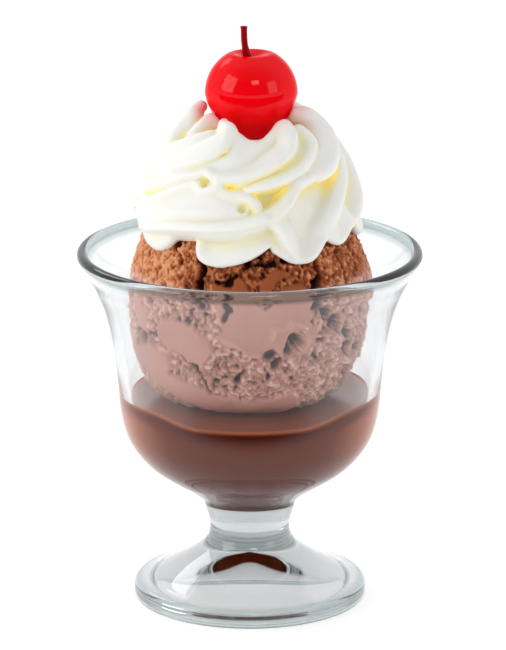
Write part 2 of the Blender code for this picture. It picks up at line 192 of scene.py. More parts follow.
def layered_noise(points, cell, seed, layers, gain=0.5):
    """Sum of lattice noises, each layer half the size of the last."""
    total = np.zeros(len(points))
    for layer in range(layers):
        total += gain ** layer * lattice_noise(points, cell * 0.5 ** layer, seed + layer)
    return total


def to_mesh(name, verts, faces, material):
    """Make an object from vertices in millimetres and a list of faces."""
    mesh = bpy.data.meshes.new(name)
    mesh.from_pydata((np.asarray(verts) * MM).tolist(), [],
                     faces.tolist() if isinstance(faces, np.ndarray) else faces)
    mesh.update()
    shape = bmesh.new()
    shape.from_mesh(mesh)
    if shape.calc_volume(signed=True) < 0:
        bmesh.ops.reverse_faces(shape, faces=shape.faces)
        shape.to_mesh(mesh)
    shape.free()
    mesh.shade_smooth()
    mesh.materials.append(material)
    piece = bpy.data.objects.new(name, mesh)
    bpy.context.scene.collection.objects.link(piece)
    return piece


def add_attribute(piece, name, values):
    """Store one number for each vertex, which a material can read."""
    layer = piece.data.attributes.new(name, "FLOAT", "POINT")
    layer.data.foreach_set("value", np.asarray(values, dtype=np.float32))


def surface_of(rings, start, end):
    """Return vertices and faces of a closed skin over rings, with a point at each end."""
    count = len(rings[0])
    verts = np.concatenate([np.array([start])] + [np.asarray(r) for r in rings]
                           + [np.array([end])])
    i = np.arange(count)
    j = (i + 1) % count
    faces = [(0, 1 + b, 1 + a) for a, b in zip(i, j)]
    for row in range(len(rings) - 1):
        low, high = 1 + row * count, 1 + (row + 1) * count
        faces += list(zip(low + i, low + j, high + j, high + i))
    last = 1 + (len(rings) - 1) * count
    faces += [(len(verts) - 1, last + a, last + b) for a, b in zip(i, j)]
    return verts, [tuple(int(v) for v in f) for f in faces]


def turned(name, profile, segments, material):
    """Turn a profile (radius, height) that runs from axis to axis into a piece."""
    angles = 2 * np.pi * np.arange(segments) / segments
    rings = [np.stack((r * np.sin(angles), -r * np.cos(angles), np.full(segments, z)), 1)
             for r, z in profile[1:-1]]
    verts, faces = surface_of(rings, (0.0, 0.0, profile[0][1]), (0.0, 0.0, profile[-1][1]))
    return to_mesh(name, verts, faces, material)


# ---------------------------------------------------------------- materials
def principled(name):
    """Return a new material and its Principled shader."""
    material = bpy.data.materials.new(name)
    material.use_nodes = True
    return material, material.node_tree.nodes["Principled BSDF"]


def add_node(tree, kind):
    """Add a shader node of a kind."""
    return tree.nodes.new("ShaderNode" + kind)


def multiply(tree, first, second):
    """Return an output times another output or a number."""
    product = add_node(tree, "Math")
    product.operation = "MULTIPLY"
    tree.links.new(first, product.inputs[0])
    if isinstance(second, float):
        product.inputs[1].default_value = second
    else:
        tree.links.new(second, product.inputs[1])
    return product.outputs[0]


def mix_shaders(tree, share, first, second):
    """Return a shader that goes from the first to the second as share goes from 0 to 1."""
    mix = add_node(tree, "MixShader")
    for socket, output in enumerate((share, first, second)):
        tree.links.new(output, mix.inputs[socket])
    return mix.outputs[0]


def set_inputs(node, values):
    """Set a node's own sockets by name."""
    for name, value in values.items():
        node.inputs[name].default_value = value


def glass_material():
    """Clear pressed glass, through which light reaches what is inside it, with painted shade on
    its rim and the foot's edge.
    """
    material, shader = principled("clear_glass")
    tree = material.node_tree
    # Painted shade: the rim and the foot's edge are coloured a darker green-grey
    tint = attribute_ramp(tree, "edge", ((0.0, (0.91, 0.915, 0.915)), (1.0, (0.5, 0.58, 0.57))))
    tree.links.new(tint, shader.inputs["Base Color"])
    set_inputs(shader, {"Roughness": 0.0, "IOR": 1.5, "Transmission Weight": 1.0})
    path = add_node(tree, "LightPath")
    clear = add_node(tree, "BsdfTransparent")
    clear.inputs["Color"].default_value = (0.93, 0.94, 0.94, 1.0)
    surface = shader.outputs[0]
    for ray in ("Is Diffuse Ray", "Is Shadow Ray"):
        surface = mix_shaders(tree, path.outputs[ray], surface, clear.outputs[0])
    tree.links.new(surface, tree.nodes["Material Output"].inputs["Surface"])
    depth = add_node(tree, "VolumeAbsorption")
    set_inputs(depth, {"Color": (0.62, 0.66, 0.66, 1.0), "Density": 60.0})
    tree.links.new(depth.outputs[0], tree.nodes["Material Output"].inputs["Volume"])
    return material


def noise_bump(tree, shader, scale, distance, strength, detail=3.0):
    """Add a fine procedural bump to a shader and return its node."""
    coords = add_node(tree, "TexCoord")
    grain = add_node(tree, "TexNoise")
    set_inputs(grain, {"Scale": scale, "Detail": detail})
    bump = add_node(tree, "Bump")
    set_inputs(bump, {"Strength": strength, "Distance": distance})
    tree.links.new(coords.outputs["Object"], grain.inputs["Vector"])
    tree.links.new(grain.outputs["Fac"], bump.inputs["Height"])
    tree.links.new(bump.outputs["Normal"], shader.inputs["Normal"])
    return bump


def read_attribute(tree, name):
    """Return the output of a node that reads a vertex attribute."""
    reader = add_node(tree, "Attribute")
    reader.attribute_name = name
    return reader.outputs["Fac"]


def attribute_ramp(tree, name, stops):
    """Turn a vertex attribute into a colour through a ramp of (position, colour)."""
    ramp = add_node(tree, "ValToRGB")
    ramp.color_ramp.elements[0].position = stops[0][0]
    ramp.color_ramp.elements[0].color = (*stops[0][1], 1.0)
    ramp.color_ramp.elements[1].position = stops[-1][0]
    ramp.color_ramp.elements[1].color = (*stops[-1][1], 1.0)
    for position, colour in stops[1:-1]:
        ramp.color_ramp.elements.new(position).color = (*colour, 1.0)
    tree.links.new(read_attribute(tree, name), ramp.inputs["Fac"])
    return ramp.outputs["Color"]


def cream_material():
    """Satin cream, painted yellower and glowing in its cavities as painted light, and pinker near
    the cherry.
    """
    material, shader = principled("whipped_cream")
    tree = material.node_tree
    # Painted light: the cavities are coloured yellower, standing in for light bounced and
    # scattered in the cream
    body = attribute_ramp(tree, "cavity_painted_light", ((0.0, (0.85, 0.85, 0.805)), (0.3, (0.85, 0.835, 0.72)),
                                           (0.65, (0.9, 0.84, 0.52)), (1.0, (0.95, 0.79, 0.28))))
    tint = add_node(tree, "Mix")
    tint.data_type = "RGBA"
    tint.inputs["B"].default_value = (0.92, 0.42, 0.4, 1.0)
    # The cream is mixed towards pink the nearer it lies to the cherry
    near_cherry_pink = multiply(tree, read_attribute(tree, "blush"), 0.55)
    tree.links.new(near_cherry_pink, tint.inputs["Factor"])
    tree.links.new(body, tint.inputs["A"])
    tree.links.new(tint.outputs["Result"], shader.inputs["Base Color"])
    # Painted light: deep cavities glow yellow, though the cream is no lamp
    painted_glow = attribute_ramp(tree, "cavity_painted_light", ((0.5, (0.0, 0.0, 0.0)), (0.75, (0.03, 0.027, 0.008)),
                                           (1.0, (0.2, 0.155, 0.012))))
    tree.links.new(painted_glow, shader.inputs["Emission Color"])
    set_inputs(shader, {
        "Emission Strength": 1.0, "Roughness": 0.42, "Specular IOR Level": 0.35,
        "Subsurface Weight": 0.3, "Subsurface Radius": (1.0, 0.85, 0.6),
        "Subsurface Scale": 0.0014,
    })
    noise_bump(tree, shader, 900.0, 0.0001, 0.15)
    return material


def scoop_material():
    """Chocolate, browner where it is open and paler where it melts against the cold glass."""
    material, shader = principled("chocolate_ice_cream")
    tree = material.node_tree
    # Both ramps carry painted shade in the hollows and painted light on the lips and on the left
    # above the rim
    bare = attribute_ramp(tree, "tone_and_painted_shading", ((0.05, (0.015, 0.002, 0.001)), (0.4, (0.24, 0.05, 0.014)),
                                         (0.62, (0.42, 0.115, 0.036)), (1.0, (0.82, 0.36, 0.17))))
    misty = attribute_ramp(tree, "tone_and_painted_shading", ((0.05, (0.08, 0.04, 0.045)), (0.4, (0.5, 0.24, 0.19)),
                                          (0.62, (0.68, 0.33, 0.265)), (1.0, (0.96, 0.66, 0.57))))
    both = add_node(tree, "Mix")
    both.data_type = "RGBA"
    tree.links.new(read_attribute(tree, "frost"), both.inputs["Factor"])
    tree.links.new(bare, both.inputs["A"])
    tree.links.new(misty, both.inputs["B"])
    tree.links.new(both.outputs["Result"], shader.inputs["Base Color"])
    set_inputs(shader, {
        "Roughness": 0.55, "Specular IOR Level": 0.3, "Specular Tint": (1.0, 0.7, 0.55, 1.0),
    })
    bump = noise_bump(tree, shader, 2200.0, 0.0004, 0.8, 4.0)
    fade = add_node(tree, "MapRange")
    set_inputs(fade, {"To Min": 0.7, "To Max": 0.05})
    tree.links.new(read_attribute(tree, "smear"), fade.inputs["Value"])
    tree.links.new(fade.outputs[0], bump.inputs["Strength"])
    return material


def fudge_material(name, specular):
    """Dark cooked chocolate, which has no gloss of its own where it lies against the glass."""
    material, shader = principled(name)
    tree = material.node_tree
    # Painted light and shade: lighter and darker browns are set by where light and reflections
    # fall, not by the fudge itself
    colour = attribute_ramp(tree, "edge", ((0.0, (0.06, 0.004, 0.001)),
                                           (0.5, (0.16, 0.026, 0.008)), (1.0, (0.5, 0.14, 0.05))))
    tree.links.new(colour, shader.inputs["Base Color"])
    set_inputs(shader, {"Roughness": 0.16, "Specular IOR Level": specular})
    noise_bump(tree, shader, 60.0, 0.0002, 0.2)
    return material


def cherry_material():
    """Translucent candied red under a clear glaze that fades towards the outline, with a painted
    red glow.
    """
    material, shader = principled("glazed_cherry")
    # Painted light: a faint red emission makes the cherry glow, standing in for light that passes
    # through it
    set_inputs(shader, {
        "Base Color": (0.72, 0.0, 0.003, 1.0), "Roughness": 0.14,
        "Specular Tint": (1.0, 0.02, 0.12, 1.0), "Specular IOR Level": 0.03,
        "Subsurface Weight": 0.45, "Subsurface Radius": (1.0, 0.04, 0.04),
        "Subsurface Scale": 0.004, "Emission Color": (1.0, 0.0, 0.01, 1.0),
        "Emission Strength": 0.12,
    })
    tree = material.node_tree
    facing = add_node(tree, "LayerWeight")
    glaze = add_node(tree, "MapRange")
    set_inputs(glaze, {"From Min": 0.2, "From Max": 0.6, "To Min": 0.6, "To Max": 0.0})
    tree.links.new(facing.outputs["Facing"], glaze.inputs["Value"])
    tree.links.new(glaze.outputs["Result"], shader.inputs["Coat Weight"])
    set_inputs(shader, {"Coat IOR": 1.4, "Coat Roughness": 0.04})
    noise_bump(tree, shader, 110.0, 0.0003, 0.4)
    return material


def stem_material():
    """Damp stem, dyed dark red."""
    material, shader = principled("cherry_stem")
    set_inputs(shader, {
        "Base Color": (0.27, 0.0, 0.002, 1.0), "Roughness": 0.35,
        "Specular Tint": (1.0, 0.08, 0.1, 1.0),
    })
    noise_bump(material.node_tree, shader, 700.0, 0.0002, 0.4)
    return material


# ---------------------------------------------------------------- glass
def make_glass():
    """Turn the bowl, the rolled rim, the stem and the foot with its recess in one profile."""
    bead = arc((RIM_RADIUS - BEAD_RADIUS, BEAD_HEIGHT), BEAD_RADIUS, 195, -45, 32)
    foot_top = arc((FOOT_RADIUS - FOOT_TOP_ROUND, FOOT_EDGE_TOP - FOOT_TOP_ROUND),
                   FOOT_TOP_ROUND, 80, 0, 12)
    foot_bottom = arc((FOOT_RADIUS - FOOT_BOTTOM_ROUND, FOOT_BOTTOM_ROUND),
                      FOOT_BOTTOM_ROUND, 0, -90, 8)
    recess = [tuple(p) for p in smooth_line(RECESS, 6)]
    profile = [tuple(p) for p in smooth_line(INNER_WALL + (bead[0],), 6)[:-1]]
    profile += bead[:-1]
    profile += [tuple(p) for p in smooth_line((bead[-1],) + OUTER_WALL + STEM[1:]
                                              + (foot_top[0],), 6)[:-1]]
    profile += foot_top[:-1] + foot_bottom + recess
    profile[0] = (0.0, profile[0][1])
    profile[-1] = (0.0, profile[-1][1])
    piece = turned("glass_clear", profile, GLASS_SEGMENTS, glass_material())
    spots = np.array([vert.co for vert in piece.data.vertices]) / MM
    # Where the painted shade goes: the foot's edge and the rim
    foot = smoothstep(*FOOT_SHADE_RADII, np.hypot(spots[:, 0], spots[:, 1]))
    foot = foot * (spots[:, 2] < FOOT_SHADE_TOP)
    add_attribute(piece, "edge", smoothstep(*RIM_SHADE_HEIGHTS, spots[:, 2]) + foot)
    return piece


def inner_wall_radius(height):
    """Return the radius of the glass's inside at a height."""
    line = np.array(smooth_line(INNER_WALL, 6))
    return np.interp(height, line[:, 1], line[:, 0])


# ---------------------------------------------------------------- scoop
def scoop_base(azimuth, polar):
    """Return the scoop's radius about its centre without texture, polar from the top."""
    lower = smoothstep(math.radians(88), math.radians(142), polar)
    upper = 1.0 - smoothstep(0.0, math.radians(80), polar)
    lean = np.maximum(0.0, -np.sin(azimuth)) ** 2
    ball = SCOOP_RADIUS - SCOOP_TOP_LOSS * upper
    ball = ball + lower * (SCOOP_SKIRT + SCOOP_SKIRT_LEAN * lean)
    flat = SCOOP_BASE_DEPTH / np.maximum(0.05, -np.cos(polar))
    sharpness = 12
    return (ball ** -sharpness + flat ** -sharpness) ** (-1 / sharpness)


def directions(azimuth, polar):
    """Return unit vectors, with polar measured from the top."""
    return np.stack((np.sin(polar) * np.sin(azimuth), -np.sin(polar) * np.cos(azimuth),
                     np.cos(polar)), axis=-1)


# Features of the scoop's face, each along a stroke of points (azimuth in degrees, height).
# Smears are smooth, where the disher slid: stroke, half width. Between them the scoop is torn.
SMEARS = (
    (((-8, 88.5), (-4, 84.5), (6, 81.0), (16, 83.5), (24, 86.5)), 5.2),
    (((-8, 78.5), (2, 76.8), (12, 77.2)), 2.6),
    (((-40, 79.0), (-32, 78.0), (-26, 76.0)), 4.2),
    (((-64, 84.0), (-58, 79.0)), 2.6),
    (((-62, 71.0), (-50, 66.5), (-38, 62.0), (-20, 58.5), (0, 57.0), (22, 58.0)), 4.0),
    (((-56, 74.0), (-46, 70.0)), 3.0),
    (((8, 91.5), (12, 93.5), (16, 95.0)), 1.8),
    (((28, 76.0), (30, 79.5)), 1.8),
    (((100, 84.0), (128, 80.0), (150, 84.0)), 6.0),
    (((-150, 74.0), (-128, 70.0), (-104, 74.0)), 5.5),
    (((170, 66.0), (196, 62.0), (220, 64.0)), 4.5),
    (((176, 90.0), (200, 86.0)), 4.0),
)
# Cracks: stroke, half width, depth
CRACKS = (
    (((-26, 99.0), (-25, 94.0), (-26, 90.5), (-24, 88.0)), 1.15, 4.0),
    (((36, 98.0), (35.5, 94.0), (34, 90.0), (34, 87.0)), 1.0, 4.0),
    (((-12, 89.0), (-10, 86.5), (-12, 84.0)), 0.9, 1.6),
    (((-35, 73.5), (-28, 70.0), (-24, 66.5), (-20, 63.0)), 0.5, 1.6),
    (((52, 98.0), (54, 94.0), (53, 90.0)), 0.4, 0.8),
    (((-16, 93.0), (-12, 92.4), (-8, 93.6)), 0.6, 1.6),
    (((4, 97.5), (8, 96.5), (14, 97.5)), 0.6, 1.4),
    (((118, 98.0), (122, 92.0), (119, 86.0)), 0.9, 3.0),
    (((-112, 97.0), (-116, 91.0), (-113, 85.0)), 0.9, 3.0),
    (((-170, 82.0), (-160, 78.0), (-152, 70.0)), 0.7, 2.4),
)
# Pits: spot, radius, depth before the relief scales it
PITS = (
    ((-57, 75.2), 2.2, 2.8), ((-65, 74.6), 2.0, 2.6), ((32, 86.4), 2.0, 2.4),
    ((38, 83.8), 2.3, 2.6), ((45, 80.8), 2.8, 2.8), ((52, 77.2), 2.0, 2.4),
    ((63, 71.6), 2.2, 2.6), ((70, 66.5), 2.4, 2.8), ((64, 59.4), 3.0, 3.6),
    ((71, 61.4), 3.4, 4.6), ((78, 64.6), 3.0, 4.2), ((60, 63.6), 1.8, 2.8),
    ((22, 78.2), 2.1, 3.4), ((17, 76.0), 1.6, 2.2), ((9, 74.8), 2.0, 1.7), ((14, 71.6), 2.2, 1.5),
    ((-5, 66.4), 1.1, 1.6), ((-3, 68.0), 1.0, 1.3), ((-17, 65.6), 1.1, 1.3),
    ((33, 71.6), 0.9, 1.2), ((52, 73.0), 2.4, 2.4), ((58, 67.5), 2.6, 3.0),
    ((-46, 100.0), 2.2, 1.6), ((0, 97.8), 1.6, 1.6), ((20, 98.0), 1.2, 1.3),
    ((-10, 91.8), 1.1, 2.0), ((96, 74.0), 3.0, 2.6), ((140, 70.0), 2.6, 2.4),
    ((-90, 84.0), 2.4, 2.2), ((-128, 82.0), 2.8, 2.6), ((164, 76.0), 2.2, 2.4),
    ((-84, 66.0), 2.0, 1.8),
)
# Lips of ice cream that curl up: stroke, half width, rise
LIPS = (
    (((10, 79.6), (13, 81.6), (20, 82.6), (26, 81.2), (28, 77.6), (25, 75.6)), 0.75, 1.1),
    (((-12, 84.0), (-15, 81.0), (-10, 78.2), (0, 75.0), (8, 74.8), (12, 76.4)), 0.6, 0.5),
    (((-44, 81.0), (-38, 82.6), (-30, 82.4), (-24, 79.0)), 0.6, 0.5),
    (((40, 78.4), (46, 76.4), (52, 76.8)), 1.6, 1.3),
    (((44, 71.6), (50, 70.0), (56, 70.4)), 1.6, 1.5),
    (((38, 66.0), (46, 67.0)), 1.6, 0.9),
)
# One degree of azimuth over the scoop's face, in mm
DEGREE = 0.55


def stroke_gap(u, v, stations):
    """Return the distance in mm, over the scoop's face, from each point to a stroke."""
    line = [(azimuth * DEGREE, height) for azimuth, height in stations]
    full = 360 * DEGREE
    best = np.full(len(u), 1e3)
    for (au, av), (bu, bv) in zip(line, line[1:]):
        du = (u - au + full / 2) % full - full / 2
        along = np.array([bu - au, bv - av])
        t = np.clip((du * along[0] + (v - av) * along[1]) / (along @ along), 0.0, 1.0)
        best = np.minimum(best, np.hypot(du - t * along[0], v - av - t * along[1]))
    return best


def spot_gap(u, v, spot):
    """Return the distance in mm, over the scoop's face, from each point to a spot."""
    full = 360 * DEGREE
    du = (u - spot[0] * DEGREE + full / 2) % full - full / 2
    return np.hypot(du, v - spot[1])


def scoop_relief(points, azimuth, heights):
    """Return relief in mm, colour from dark to light with painted shade and painted light in it,
    and how smeared each point is.
    """
    u = np.degrees(azimuth) * DEGREE + 1.1 * layered_noise(points, 4.0, 11, 3)
    v = heights + 1.1 * layered_noise(points, 4.0, 17, 3)
    smear = np.zeros(len(u))
    for stations, width in SMEARS:
        gap = stroke_gap(u, v, stations)
        smear = np.maximum(smear, 1.0 - smoothstep(width - 0.35, width + 0.35, gap))
    swell = layered_noise(points, 10.0, 23, 2)
    lumps = layered_noise(points, 4.2, 31, 2)
    crumbs = layered_noise(points, 1.5, 41, 2, 0.7)
    grains = layered_noise(points, 0.75, 51, 2, 0.8)
    holes = smoothstep(0.3, 0.8, layered_noise(points, 1.6, 61, 2))
    rough = -0.35 + 0.3 * lumps + 0.34 * crumbs + 0.42 * grains - 0.7 * holes
    slick = 0.45 + 0.25 * swell + 0.05 * lumps + 0.02 * grains
    relief = 0.25 * swell + rough * (1 - smear) + slick * smear
    # Painted shade: small holes are coloured darker
    tone_and_painted_shading = 0.56 + 0.16 * crumbs + 0.36 * grains - 0.4 * holes
    tone_and_painted_shading = tone_and_painted_shading * (1 - smear) + (0.54 + 0.05 * swell) * smear
    # Painted highlight: the curled lips are coloured lighter
    for stations, width, rise in LIPS:
        gap = stroke_gap(u, v, stations)
        bump = np.exp(-(gap / width) ** 2)
        relief += rise * bump
        tone_and_painted_shading += 0.12 * bump
    # Painted shade: cracks are coloured darker where they cut in
    for stations, width, depth in CRACKS:
        gap = stroke_gap(u, v, stations)
        cut = 1.0 - smoothstep(0.35 * width, 1.25 * width, gap)
        relief -= depth * cut
        tone_and_painted_shading -= 0.75 * cut
    # Painted shade: pits are coloured darker
    for spot, size, depth in PITS:
        cut = 1.0 - smoothstep(0.3 * size, 1.15 * size, spot_gap(u, v, spot))
        relief -= 1.2 * depth * cut
        tone_and_painted_shading -= 0.75 * cut
    return relief, np.clip(tone_and_painted_shading, 0.0, 1.0), smear


def make_scoop():
    """Displace the scoop's ball by its relief, on a grid that is densest at the front."""
    segments, rings = ((560, 168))
    turn = 2 * np.pi * (np.arange(segments) + 0.5) / segments - np.pi
    azimuth = turn - 0.3 * np.sin(turn)
    spread = np.linspace(0.0, 1.0, rings + 2)[1:-1]
    polar = np.radians(np.interp(spread, (0.0, 0.08, 0.93, 1.0), (0.0, 48.0, 152.0, 180.0)))
    a, p = np.meshgrid(azimuth, polar)
    ray = directions(a, p).reshape(-1, 3)
    base = scoop_base(a, p).ravel()
    points = ray * base[:, None]
    relief, tone_and_painted_shading, smear = scoop_relief(points, a.ravel(), points[:, 2] + SCOOP_CENTRE)
    bearing = np.degrees(a.ravel())
    # Painted light: above the rim the scoop is coloured lighter on the left, where the key lamp
    # falls, a little lighter on the right and darker between
    above = smoothstep(87.0, 90.0, points[:, 2] + SCOOP_CENTRE)
    left = 1.0 - smoothstep(-46.0, -26.0, bearing)
    right = smoothstep(34.0, 42.0, bearing)
    tone_and_painted_shading = np.clip(tone_and_painted_shading + above * (0.36 * left + 0.1 * right - 0.06), 0.0, 1.0)
    verts = ray * (base + relief)[:, None] + np.array([0, 0, SCOOP_CENTRE])
    skin, faces = surface_of(list(verts.reshape(rings, segments, 3)),
                             (0, 0, SCOOP_CENTRE + 30.0), (0, 0, SCOOP_CENTRE - 30.6))
    piece = to_mesh("scoop", skin, faces, scoop_material())
    add_attribute(piece, "tone_and_painted_shading", np.concatenate(([0.6], tone_and_painted_shading, [0.6])))
    add_attribute(piece, "smear", np.concatenate(([0.0], smear, [1.0])))
    frost = 1.0 - smoothstep(*FROST_HEIGHTS, verts[:, 2])
    add_attribute(piece, "frost", np.concatenate(([0.0], frost, [1.0])))
    return piece


# ---------------------------------------------------------------- fudge
def fudge_level(azimuth):
    """Return the height at which the fudge meets the glass, lower in front of the scoop."""
    away = np.abs(np.arctan2(np.sin(azimuth), np.cos(azimuth)))
    dip = 1.0 - smoothstep(math.radians(24), math.radians(52), away)
    right = smoothstep(math.radians(40), math.radians(75), azimuth)
    right = right * (1.0 - smoothstep(math.radians(110), math.radians(150), azimuth))
    return FUDGE_LEVEL - FUDGE_FRONT_DIP * dip + FUDGE_RIGHT_RISE * right


def make_fudge():
    """The fudge reaches just into the glass, so that no air shows between them."""
    segments = FUDGE_SEGMENTS
    azimuth = 2 * np.pi * np.arange(segments) / segments - np.pi
    bottom = INNER_WALL[0][1] - FUDGE_BITE
    level = fudge_level(azimuth)
    rings = []
    for k in range(1, FUDGE_WALL_RINGS + 1):
        z = bottom + (level - bottom) * (k / FUDGE_WALL_RINGS) ** 1.6
        r = inner_wall_radius(z + FUDGE_BITE) + FUDGE_BITE
        rings.append(np.stack((r * np.sin(azimuth), -r * np.cos(azimuth), z), 1))
    wall = rings[-1]
    inner = np.stack((FUDGE_INNER * np.sin(azimuth), -FUDGE_INNER * np.cos(azimuth),
                      np.full(segments, FUDGE_CONTACT)), 1)
    for k in range(1, FUDGE_TOP_RINGS + 1):
        t = k / FUDGE_TOP_RINGS
        point = wall * (1 - t) + inner * t
        point[:, 2] = inner[:, 2] + (wall[:, 2] - inner[:, 2]) * (1 - t) ** 2.0
        rings.append(point)
    verts, faces = surface_of(rings, (0, 0, bottom), (0, 0, FUDGE_CONTACT))
    piece = to_mesh("fudge_pool", verts, faces, fudge_material("hot_fudge", 0.0))
    piece.data.materials.append(fudge_material("hot_fudge_open", 1.0))
    heights = np.array([ring[:, 2] for ring in rings])
    below = level - heights
    opened = np.repeat((np.arange(len(rings)) > FUDGE_WALL_RINGS)[:, None], segments, axis=1)
    # Painted light and shade in the fudge's colour: lighter at the sides, a painted highlight
    # along its level, a darker band just below it and a lighter open top
    side = np.abs(np.sin(azimuth)) ** 4 * 0.75 * (1 - smoothstep(6.0, 26.0, below))
    painted_highlight = 1 - smoothstep(0.1, 0.9, below)
    edge = np.clip(0.35 + side - 0.35 * (1 - smoothstep(1.0, 5.0, below)) + painted_highlight, 0.0, 1.0)
    edge[opened] = 0.75
    add_attribute(piece, "edge", np.concatenate(([0.4], edge.ravel(), [0.5])))
    in_air = np.concatenate(([False], opened.ravel(), [True]))
    for polygon in piece.data.polygons:
        polygon.material_index = int(any(in_air[v] for v in polygon.vertices))
    return piece


# ---------------------------------------------------------------- whipped cream
CREAM_BLEND = 0.85
CREAM_CORE = ((96.0, 22.5), (100.0, 25.2), (104.0, 25.6), (109.0, 24.4), (114.0, 21.6),
              (118.0, 18.8), (120.6, 15.6), (122.2, 12.0), (123.2, 8.0), (123.8, 3.0))
# A fold is a lip of some radius whose body runs back to a thicker root: lip radius, how far the
# root lies inward and up, root radius, then the lip's line (azimuth in degrees, height, radius)
CREAM_FOLDS = (
    # upper left, its lip at the lower edge
    (1.0, (4.6, 2.6), 2.4, ((-30, 129.2, 15.4), (-21, 128.2, 18.4), (-18, 126.4, 21.2),
     (-22, 124.6, 22.8), (-32, 122.3, 24.2), (-47, 120.1, 25.3), (-62, 117.8, 26.4),
     (-90, 114.6, 27.2), (-122, 110.5, 28.3), (-150, 105.0, 29.4))),
    (1.5, (4.0, 1.0), 2.8, ((-98, 131.2, 15.2), (-84, 128.6, 18.2), (-76, 125.2, 21.4),
     (-84, 121.6, 23.6), (-106, 117.6, 25.4), (-136, 112.6, 27.4), (-160, 107.0, 29.0))),
    (1.6, (4.0, 0.0), 3.0, ((-62, 129.6, 13.6), (-60, 127.0, 17.0), (-61, 124.2, 20.3))),
    # from the cherry's right down to the left, through a curl
    (1.2, (5.5, -1.0), 3.4, ((38, 129.4, 17.0), (34, 127.6, 20.6), (28, 124.6, 23.0),
     (19, 122.5, 24.2), (9, 120.6, 25.1), (-1, 119.2, 25.7), (-11, 118.6, 26.0),
     (-20, 118.6, 26.0), (-27, 119.6, 25.5), (-33, 118.6, 25.5), (-44, 117.9, 25.8),
     (-60, 117.4, 26.2), (-78, 116.0, 27.0), (-108, 111.5, 28.2), (-140, 105.5, 29.4))),
    (0.8, (2.5, -0.5), 1.8, ((-18, 118.4, 26.2), (-19, 116.4, 27.0), (-26, 115.3, 27.4),
     (-33, 116.8, 27.0))),
    (1.15, (5.0, -1.0), 3.2, ((49, 128.0, 19.0), (50, 125.6, 22.2), (42, 122.5, 24.0),
     (31, 119.9, 25.5), (18, 118.1, 26.4), (7, 116.9, 27.0), (-1, 116.0, 27.2))),
    # big lobe on the upper right, its lip at the bottom
    (2.2, (4.0, 2.0), 3.6, ((74, 130.0, 14.4), (86, 128.2, 18.4), (86, 125.6, 21.4),
     (80, 122.8, 23.2), (70, 120.4, 24.5), (58, 118.6, 25.8), (47, 117.8, 26.4),
     (38, 118.2, 26.0))),
    # the long lip that sweeps from the right down to the left
    (1.45, (6.0, -2.0), 3.2, ((38, 117.6, 26.4), (30, 116.9, 26.8), (25, 114.8, 27.6),
     (20, 112.4, 29.0), (13, 110.4, 30.0), (4, 108.8, 30.8), (-4, 107.8, 31.3),
     (-14, 107.1, 31.6), (-25, 106.6, 31.7), (-38, 105.8, 31.5), (-50, 104.6, 31.2),
     (-64, 102.9, 30.7), (-80, 101.2, 29.9))),
    # the fold above it, from a curl in the middle to a tip on the left
    (1.2, (6.0, -3.6), 3.0, ((5, 110.4, 28.2), (2, 113.2, 28.0), (-4, 114.6, 27.7),
     (-12, 114.8, 27.5), (-20, 116.0, 26.9), (-28, 116.4, 26.8), (-36, 115.8, 27.1),
     (-45, 114.1, 27.9), (-55, 112.0, 28.8), (-66, 109.8, 29.5), (-80, 107.4, 30.4),
     (-90, 106.4, 31.2), (-106, 104.8, 29.8), (-126, 102.6, 29.2))),
    # hem lobes at the front and right
    (2.2, (3.5, 2.6), 3.0, ((-76, 101.8, 29.2), (-66, 99.9, 29.3), (-56, 99.4, 29.1),
     (-47, 101.6, 29.4))),
    (1.1, (4.4, 4.6), 2.4, ((-27, 100.4, 28.9), (-26, 98.2, 28.9), (-20, 97.1, 28.8),
     (-12, 97.2, 28.7), (-2, 98.7, 28.6), (6, 100.8, 28.5), (12, 102.4, 28.2))),
    (1.3, (4.8, 5.0), 2.2, ((14, 100.4, 28.6), (22, 98.2, 29.2), (29, 97.6, 29.4),
     (35, 98.3, 29.3), (40, 100.6, 29.2), (46, 103.0, 28.8))),
    (1.1, (4.0, 1.5), 2.8, ((11, 108.4, 29.6), (16, 106.0, 30.4), (19, 103.2, 30.7),
     (22, 100.2, 30.6), (24, 98.0, 30.0))),
    (1.4, (3.5, 4.0), 2.8, ((47, 102.0, 29.0), (54, 100.5, 29.3), (61, 102.1, 29.4),
     (68, 104.4, 29.2))),
    # outer lobe on the right
    (1.9, (4.8, 1.5), 2.8, ((98, 121.4, 24.0), (92, 117.4, 26.6), (88, 113.0, 28.4),
     (83, 108.8, 29.6), (75, 105.0, 29.9), (67, 102.6, 29.5))),
    # the side and back, with their hem
    (1.8, (5.0, 1.0), 3.2, ((-164, 130.4, 14.5), (-172, 126.8, 19.5), (170, 122.4, 23.0),
     (148, 117.6, 26.0), (128, 111.6, 28.4), (112, 105.6, 29.6), (101, 101.6, 29.4))),
    (1.8, (5.0, 1.0), 3.2, ((142, 131.2, 13.8), (130, 128.2, 18.5), (114, 123.8, 22.4),
     (102, 118.6, 25.6), (96, 112.6, 28.2), (92, 106.6, 29.6), (86, 102.4, 29.3))),
    (1.6, (5.0, 0.0), 3.2, ((-140, 122.0, 22.8), (-160, 118.0, 25.6), (178, 112.6, 28.2),
     (160, 106.6, 29.6), (145, 101.8, 29.4))),
    (1.5, (3.0, 4.0), 3.0, ((-96, 101.0, 29.4), (-112, 99.0, 29.2), (-128, 99.8, 29.2),
     (-142, 101.8, 29.2))),
    (1.5, (3.0, 4.0), 3.0, ((-150, 101.0, 29.2), (-165, 99.2, 29.2), (-178, 100.6, 29.2))),
    (1.5, (3.0, 4.0), 3.0, ((174, 100.8, 29.2), (158, 99.2, 29.2), (144, 100.8, 29.2))),
    (1.5, (3.0, 4.0), 3.0, ((136, 100.8, 29.2), (120, 99.2, 29.2), (106, 100.8, 29.2))),
    (1.5, (3.0, 4.0), 3.0, ((99, 101.2, 29.2), (87, 99.8, 29.4), (77, 101.8, 29.4))),
)
